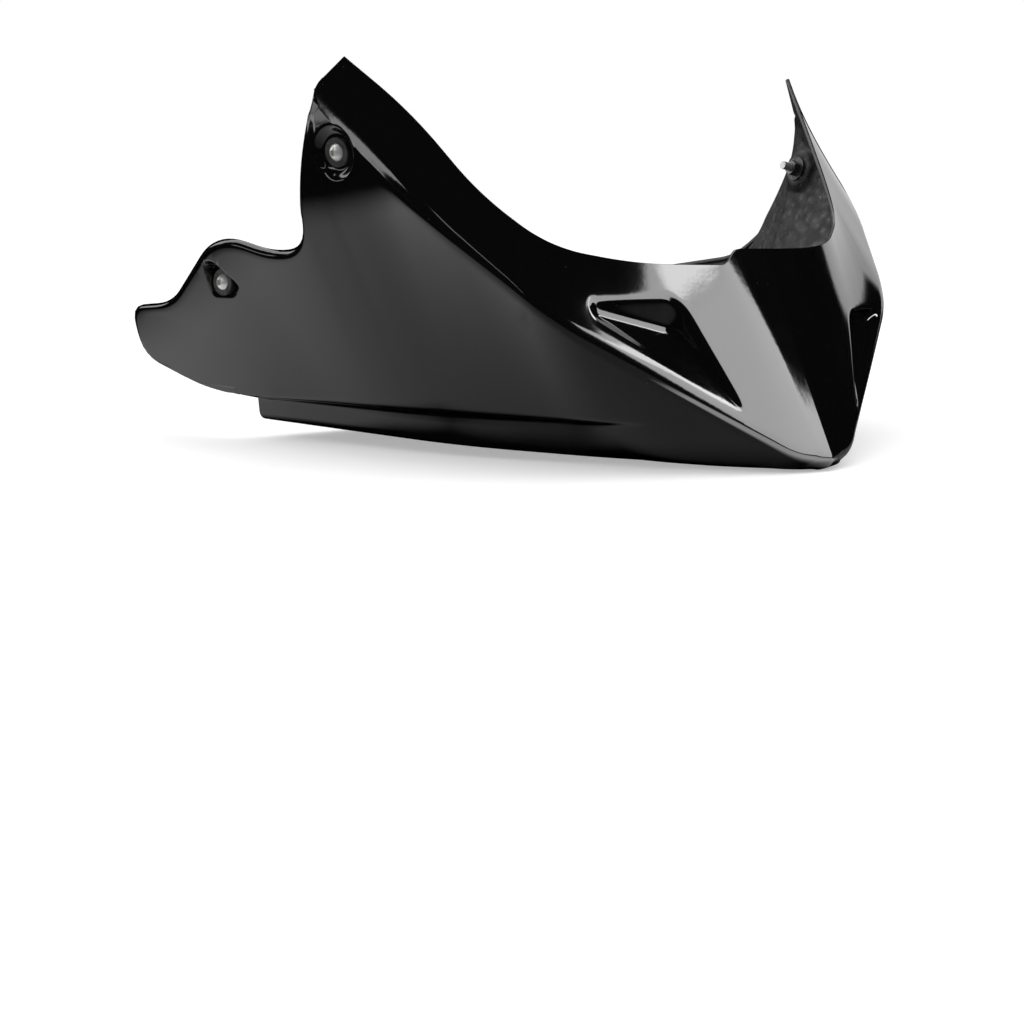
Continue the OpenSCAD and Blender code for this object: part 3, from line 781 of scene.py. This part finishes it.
laminate, tree, shader = finish("bare_laminate")
where = node(tree, "ShaderNodeTexCoord").outputs["Object"]
strands = node(tree, "ShaderNodeTexNoise", {
    "Vector": where, "Scale": 95.0, "Detail": 6.0, "Roughness": 0.65, "Distortion": 1.6})
blobs = node(tree, "ShaderNodeTexVoronoi", {"Vector": where, "Scale": 150.0},
             feature="SMOOTH_F1")
dust = with_group(tree, specks, {"Speck Size": 420.0, "Rarity": 0.95, "Amount": 0.8})
grey = tint(tree, ramp(tree, strands.outputs["Fac"], 0.35, 0.7, 0.0, 1.0),
            (0.008, 0.008, 0.0085), (0.034, 0.034, 0.034))
tree.links.new(tint(tree, dust.outputs["Dust"], grey, (0.36, 0.36, 0.34)),
               shader.inputs["Base Color"])
tree.links.new(ramp(tree, blobs.outputs["Distance"], 0.1, 0.6, 0.32, 0.7),
               shader.inputs["Roughness"])
rough = node(tree, "ShaderNodeMath", {0: strands.outputs["Fac"], 1: blobs.outputs["Distance"]},
             operation="ADD")
bump = node(tree, "ShaderNodeBump", {
    "Height": rough.outputs[0], "Strength": 0.55, "Distance": 0.0012})
tree.links.new(bump.outputs[0], shader.inputs["Normal"])

cut_edge, tree, shader = finish("trimmed_laminate_edge")
where = node(tree, "ShaderNodeTexCoord").outputs["Object"]
grain = node(tree, "ShaderNodeTexNoise", {"Vector": where, "Scale": 700.0, "Detail": 4.0})
tree.links.new(tint(tree, ramp(tree, grain.outputs["Fac"], 0.35, 0.7, 0.0, 1.0),
                    (0.022, 0.022, 0.022), (0.075, 0.074, 0.07)), shader.inputs["Base Color"])
tree.links.new(ramp(tree, grain.outputs["Fac"], 0.3, 0.7, 0.3, 0.5),
               shader.inputs["Roughness"])
bump = node(tree, "ShaderNodeBump", {
    "Height": grain.outputs["Fac"], "Strength": 0.3, "Distance": 0.0003})
tree.links.new(bump.outputs[0], shader.inputs["Normal"])
for made in (gel_coat, laminate, cut_edge):
    shell_mesh.materials.append(made)
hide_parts("pan_shell")
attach(shell, "root")

# ---- Washers ----
# Large steel washers, one under each head and one under each nut, which clamp the shell's
# wall. They are blackened: an uneven dark tone with a fine satin grain, and broken edges.
EDGE_ANGLE, WASHER_EDGE = 35, 0.00025


def eased(piece, width):
    """Breaks a solid's sharp edges, as a deburred part has them."""
    made = piece.modifiers.new("eased_edges", "BEVEL")
    made.width, made.segments = width, 2
    made.limit_method, made.angle_limit = "ANGLE", radians(EDGE_ANGLE)
    piece.data.shade_smooth()
    piece.data.set_sharp_from_angle(angle=radians(EDGE_ANGLE))


# A fine satin grain on plated and blackened steel: a mask and the normal that goes with it
satin, satin_in, satin_out = group_of(
    "satin_grain", {"Grain Scale": 2600.0, "Depth": 0.2},
    {"Grain": "NodeSocketFloat", "Normal": "NodeSocketVector"})
where = node(satin, "ShaderNodeTexCoord").outputs["Object"]
fine = node(satin, "ShaderNodeTexNoise", {
    "Vector": where, "Scale": satin_in.outputs["Grain Scale"], "Detail": 3.0})
bump = node(satin, "ShaderNodeBump", {
    "Height": fine.outputs["Fac"], "Strength": satin_in.outputs["Depth"], "Distance": 0.0002})
satin.links.new(fine.outputs["Fac"], satin_out.inputs["Grain"])
satin.links.new(bump.outputs[0], satin_out.inputs["Normal"])


def steel(name, haze_size, a, b, rough, metallic, grain=None):
    """A steel finish between tones a and b by its haze, dull by its grain or its haze."""
    made, tree, shader = finish(name)
    haze = with_group(tree, specks, {"Haze Size": haze_size}).outputs["Haze"]
    tone = ramp(tree, haze, 0.35, 0.75, 0.0, 1.0)
    tree.links.new(tint(tree, tone, a, b), shader.inputs["Base Color"])
    dull = haze
    if grain:
        surface = with_group(tree, satin, grain)
        tree.links.new(surface.outputs["Normal"], shader.inputs["Normal"])
        dull = surface.outputs["Grain"]
    tree.links.new(ramp(tree, dull, 0.3, 0.7, *rough), shader.inputs["Roughness"])
    shader.inputs["Metallic"].default_value = metallic
    return made


def dressed(piece, made, edge):
    """Gives a carried-over solid its finish and its broken edges."""
    piece.data.materials.clear()
    piece.data.materials.append(made)
    eased(piece, edge)


black_steel = steel("blackened_steel", 160.0, (0.055, 0.055, 0.057), (0.13, 0.13, 0.13),
                    (0.3, 0.46), 0.8, {"Grain Scale": 2400.0, "Depth": 0.3})
for name, piece in frame["nodes"].items():
    if "washer" in name:
        dressed(piece, black_steel, WASHER_EDGE)

# ---- Screws and nuts ----
# M6 button-head screws with a hexagon socket, bright zinc plated, each put in from
# outside and held by a plain hexagon nut of duller zinc. Their edges are broken.
SCREW_EDGE = 0.0003
bright_zinc = steel("bright_zinc", 220.0, (0.66, 0.66, 0.64), (0.5, 0.5, 0.49),
                    (0.3, 0.46), 0.6, {"Grain Scale": 3000.0, "Depth": 0.15})
dull_zinc = steel("dulled_zinc", 180.0, (0.2, 0.2, 0.2), (0.11, 0.11, 0.11), (0.4, 0.55),
                  0.9)
for name, piece in frame["nodes"].items():
    if name.startswith(("screw", "nut")):
        dressed(piece, bright_zinc if name.startswith("screw") else dull_zinc, SCREW_EDGE)

# ---- Floor and studio ----
# A pale floor under a white sweep. Black drapes stand all round, out of the camera's
# sight, and soft boxes hang before them: a gloss black part shows nothing but these.
FLOOR_R, DRAPE_R, CARD_R, CARD_Z, BOX_AWAY, LAMP_AWAY = 60.0, 4.5, 4.0, 0.0004, 3.2, 2.4


def flat_disc(name, radius, z):
    mesh = bpy.data.meshes.new(name)
    turns = [2 * pi * k / 64 for k in range(64)]
    mesh.from_pydata([(radius * cos(a), radius * sin(a), z) for a in turns], [],
                     [tuple(range(64))])
    return in_scene(name, mesh)


floor = flat_disc("floor", FLOOR_R, 0)
pale_floor, tree, shader = finish("pale_floor")
shader.inputs["Base Color"].default_value = (0.86, 0.86, 0.86, 1)
shader.inputs["Roughness"].default_value = 0.9
shader.inputs["Specular IOR Level"].default_value = 0.1
rays = node(tree, "ShaderNodeLightPath")
spot = node(tree, "ShaderNodeTexCoord").outputs["Object"]
away = node(tree, "ShaderNodeVectorMath", {0: spot}, operation="LENGTH").outputs["Value"]
# The lift that makes the floor white is for the camera; gloss meets the floor card first
lift = times(tree, rays.outputs["Is Camera Ray"], ramp(tree, away, 0.3, 1.6, 0.4, 0.55))
shader.inputs["Emission Color"].default_value = (1, 1, 1, 1)
tree.links.new(lift, shader.inputs["Emission Strength"])
floor.data.materials.append(pale_floor)

world = bpy.data.worlds.new("white_sweep")
bpy.context.scene.world = world
world.use_nodes = True
tree = world.node_tree
back = tree.nodes["Background"]
rays = node(tree, "ShaderNodeLightPath")
seen = node(tree, "ShaderNodeMath", {
    0: rays.outputs["Is Camera Ray"], 1: rays.outputs["Is Glossy Ray"]}, operation="MAXIMUM")
seen = node(tree, "ShaderNodeMath", {
    0: seen.outputs[0], 1: rays.outputs["Is Transmission Ray"]}, operation="MAXIMUM")
tree.links.new(ramp(tree, seen.outputs[0], 0.0, 1.0, 0.62, 1.0), back.inputs["Strength"])
back.inputs["Color"].default_value = (1, 1, 1, 1)


def direction(azimuth, elevation):
    """From the part: azimuth 0 is ahead of its nose, 90 is on its left."""
    a, e = radians(azimuth), radians(elevation)
    return Vector((sin(a) * cos(e), -cos(a) * cos(e), sin(e)))


def only_reflected(piece):
    """Part of the studio that nothing but a reflection shows."""
    for kind in ("camera", "diffuse", "shadow", "transmission", "volume_scatter"):
        setattr(piece, "visible_" + kind, False)


drape_form = bmesh.new()
bmesh.ops.create_uvsphere(drape_form, u_segments=48, v_segments=24, radius=DRAPE_R)
drape_mesh = bpy.data.meshes.new("drapes")
drape_form.to_mesh(drape_mesh)
drape_form.free()
drapes = in_scene("drapes", drape_mesh)
velvet, tree, shader = finish("black_drape")
shader.inputs["Base Color"].default_value = (0.004, 0.004, 0.004, 1)
shader.inputs["Specular IOR Level"].default_value = 0.0
drape_mesh.materials.append(velvet)
only_reflected(drapes)


def fade(tree, value, low, high, a, b):
    """Value mapped from the range low..high to a..b, with soft ends."""
    return node(tree, "ShaderNodeMapRange", {
        "Value": value, "From Min": low, "From Max": high, "To Min": a, "To Max": b},
        interpolation_type="SMOOTHSTEP").outputs[0]


def light_finish(name):
    """A new material without a shader, its node tree, and the place on the piece."""
    made = bpy.data.materials.new(name)
    made.use_nodes = True
    made.node_tree.nodes.clear()
    return made, made.node_tree, node(made.node_tree, "ShaderNodeTexCoord")


# A glowing card that only the gloss sees stands in for the lit floor, as a painted reflection:
# bright on each side, brighter to the rear, ending in black cloth, brighter ahead of the nose,
# with a painted shadow under the pan
card = flat_disc("painted_floor_reflection_card", CARD_R, CARD_Z)
painted_reflection_finish, tree, spot = light_finish("painted_floor_reflection_and_shadow")
spot = spot.outputs["Object"]
parts = node(tree, "ShaderNodeSeparateXYZ", {"Vector": spot})
away = node(tree, "ShaderNodeVectorMath", {0: spot}, operation="LENGTH").outputs["Value"]
within = fade(tree, away, 0.40, 0.58, 1.0, 0.0)
width = node(tree, "ShaderNodeMath", {0: parts.outputs["X"]}, operation="ABSOLUTE")
nose_run = node(tree, "ShaderNodeMath", {0: parts.outputs["Y"], 1: 0.0}, operation="MINIMUM")
beside = node(tree, "ShaderNodeMath", {
    0: nose_run.outputs[0], 1: -0.75, 2: width.outputs[0]}, operation="MULTIPLY_ADD")
# Painted shadow: the card's glow dies out under and just beside the pan, where the pan shades
# the floor
beyond_painted_shadow = fade(tree, beside.outputs[0], 0.168, 0.2, 0.0, 1.0)
along = ramp(tree, parts.outputs["Y"], -0.16, 0.28, 0.25, 1.2)
sides = times(tree, within, beyond_painted_shadow, along)
ahead = fade(tree, parts.outputs["Y"], -0.225, -0.205, 5.0, 0.0)
from_right = fade(tree, parts.outputs["X"], -0.15, -0.11, 0.0, 1.0)
to_left = fade(tree, parts.outputs["X"], 0.0, 0.06, 1.0, 0.0)
near_nose = fade(tree, parts.outputs["Y"], -0.36, -0.29, 0.0, 1.0)
front = times(tree, from_right, to_left, near_nose, ahead)
power = node(tree, "ShaderNodeMath", {0: sides, 1: front}, operation="MAXIMUM")
glow = node(tree, "ShaderNodeEmission", {"Strength": power.outputs[0]})
node(tree, "ShaderNodeOutputMaterial", {"Surface": glow.outputs[0]})
card.data.materials.append(painted_reflection_finish)
only_reflected(card)

# Soft boxes: azimuth, elevation, width, height and turn in degrees, and strength. Their
# light fades out over an edge of so many degrees, or a quarter of a narrow box
BOX_EDGE = 2.5
SOFT_BOXES = [
    (24, 13, 33, 58, 30, 7.0),
    (104, 14, 26, 20, 0, 1.1),
    (48, 37, 46, 6, 0, 14.0),
    (-101, 17, 7, 64, 44, 4.0),
    (-122, 6, 14, 11, 0, 2.5),
    (-130, 56, 30, 22, 0, 3.5),
    (-54, 36, 3, 26, 0, 3.0),
    (165, 56, 70, 26, 0, 2.5),
    (-150, 30, 24, 40, 0, 3.0),
]


def soft_box(name, azimuth, elevation, wide, high, turn, strength):
    mesh = bpy.data.meshes.new(name)
    w, h = BOX_AWAY * radians(wide) / 2, BOX_AWAY * radians(high) / 2
    mesh.from_pydata([(-w, -h, 0), (w, -h, 0), (w, h, 0), (-w, h, 0)], [], [(0, 1, 2, 3)])
    piece = in_scene(name, mesh)
    away = direction(azimuth, elevation)
    facing = (-away).to_track_quat("Z", "Y").to_matrix().to_4x4()
    piece.matrix_world = (Matrix.Translation(away * BOX_AWAY) @ facing
                          @ Matrix.Rotation(radians(turn), 4, "Z"))
    made, tree, spot = light_finish(name)
    parts = node(tree, "ShaderNodeSeparateXYZ", {"Vector": spot.outputs["Generated"]})
    fades = []
    for axis, size in (("X", wide), ("Y", high)):
        middle = node(tree, "ShaderNodeMath", {0: parts.outputs[axis], 1: 0.5},
                      operation="SUBTRACT")
        out = node(tree, "ShaderNodeMath", {0: middle.outputs[0]}, operation="ABSOLUTE")
        soft = min(0.25, BOX_EDGE / size)
        fades.append(fade(tree, out.outputs[0], 0.5 - soft, 0.5, 1.0, 0.0))
    inside = times(tree, *fades)
    glow = node(tree, "ShaderNodeEmission", {"Strength": times(tree, inside, strength)})
    clear = node(tree, "ShaderNodeBsdfTransparent")
    mix = node(tree, "ShaderNodeMixShader", {
        0: inside, 1: clear.outputs[0], 2: glow.outputs[0]})
    node(tree, "ShaderNodeOutputMaterial", {"Surface": mix.outputs[0]})
    mesh.materials.append(made)
    only_reflected(piece)


for number, values in enumerate(SOFT_BOXES, 1):
    soft_box(f"soft_box_{number}", *values)

# Two large soft lamps, above and beside the camera, model the matt surfaces and lay the
# soft shadow under the pan
for name, azimuth, elevation, size, power in (
        ("lamp_above", -10, 70, 2.0, 16.0), ("lamp_side", -80, 35, 1.6, 8.0)):
    lamp = bpy.data.lights.new(name, "AREA")
    lamp.shape, lamp.size, lamp.energy = "DISK", size, power
    holder = in_scene(name, lamp)
    holder.location = direction(azimuth, elevation) * LAMP_AWAY
    holder.rotation_euler = direction(azimuth, elevation).to_track_quat("Z", "Y").to_euler()
    holder.visible_glossy = False

# ---- Camera ----
# Low, ahead of the pan and on its right, with a long lens, as in the photograph. It looks
# a little down, so that the pan stands in the upper half of the picture.
camera = in_scene("camera", bpy.data.cameras.new("camera"))
camera.location = (-0.89813, -0.88207, 0.15349)
camera.rotation_euler = (1.40839, -0.007445, -0.74823)
camera.data.lens = 62.32
camera.data.sensor_width = 36.0
bpy.context.scene.camera = camera
bpy.context.scene.view_settings.view_transform = "Standard"
